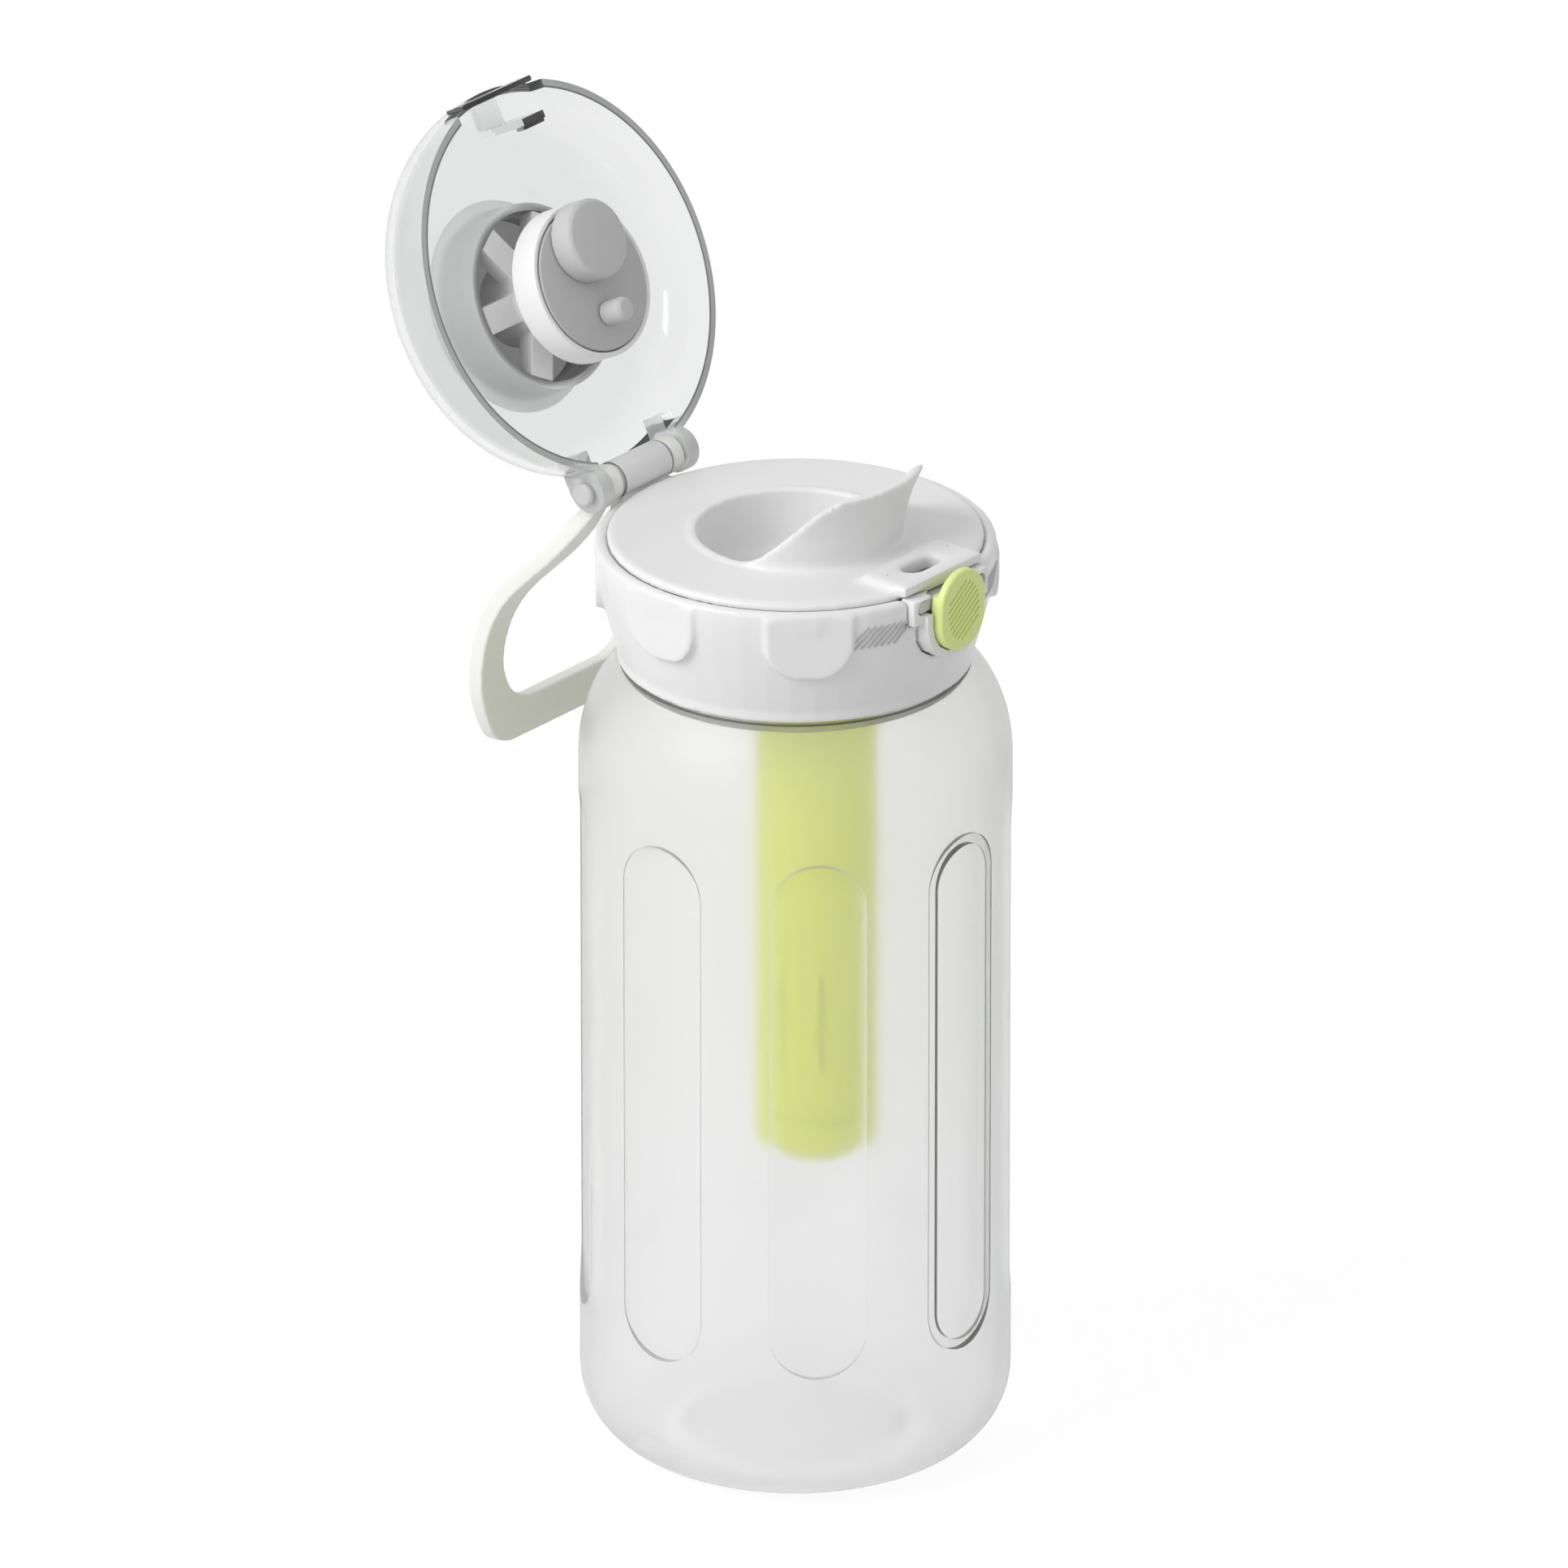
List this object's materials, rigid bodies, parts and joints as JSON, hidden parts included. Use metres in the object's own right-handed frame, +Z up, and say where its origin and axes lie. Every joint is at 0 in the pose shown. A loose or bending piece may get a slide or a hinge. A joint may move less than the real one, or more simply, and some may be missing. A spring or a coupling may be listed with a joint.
{
  "type": "sports water bottle",
  "caption": "Frosted sports water bottle with a clear flip lid, flared drinking spout, push-button latch, carry loop and hanging infuser tube.",
  "frame": {"origin": "middle of the flat base on the surface it stands on", "axes": "+Z up the bottle's axis, -Y towards the latch button, +Y towards the lid's hinge and the carry loop"},
  "size_m": [0.09, 0.1376, 0.2819],
  "materials": {
    "frosted_clear": "frosted translucent",
    "white_plastic": "satin",
    "lid_clear": "clear polished",
    "light_grey_plastic": "satin",
    "silicone_grey": "matt",
    "lime_plastic": "satin",
    "infuser_lime": "translucent satin",
    "handle_white": "milky satin",
    "steel": "bright drawn"
  },
  "bodies": {
    "bottle": {"bottle_body": "frosted_clear"},
    "cap": {"cap_shell": "white_plastic", "spout_deck": "white_plastic", "latch_housing": "white_plastic", "neck_gasket": "silicone_grey", "button_spring": "steel", "lid_spring": "steel", "hinge_pin": "steel", "pin_cap_left": "light_grey_plastic", "pin_cap_right": "light_grey_plastic"},
    "lid": {"lid_shell": "lid_clear", "plug_carrier": "white_plastic", "seal_pad": "silicone_grey", "drink_plug": "silicone_grey", "vent_plug": "silicone_grey"},
    "button": {"release_button": "lime_plastic", "latch_slide": "light_grey_plastic"},
    "handle": {"carry_handle": "handle_white"},
    "infuser": {"infuser_tube": "infuser_lime", "infuser_cap": "infuser_lime", "infuser_seal": "silicone_grey"}
  },
  "joints": [
    {"name": "cap_lift", "type": "slide", "parent": "bottle", "child": "cap", "axis": [0, 0, 1], "range_m": [0, 0.13]},
    {"name": "lid_hinge", "type": "hinge", "parent": "cap", "child": "lid", "pos_m": [0, 0.0428, 0.2066], "axis": [-1, 0, 0], "range_deg": [-118, 0]},
    {"name": "button_press", "type": "slide", "parent": "cap", "child": "button", "axis": [0, 1, 0], "range_m": [0, 0.0016], "stiffness_N_per_m": 400, "deforming": ["button_spring"]},
    {"name": "handle_swing", "type": "hinge", "parent": "cap", "child": "handle", "pos_m": [0, 0.0428, 0.2066], "axis": [-1, 0, 0], "range_deg": [-40, 0]},
    {"name": "infuser_drop", "type": "slide", "parent": "cap", "child": "infuser", "axis": [0, 0, -1], "range_m": [0, 0.05]}
  ]
}
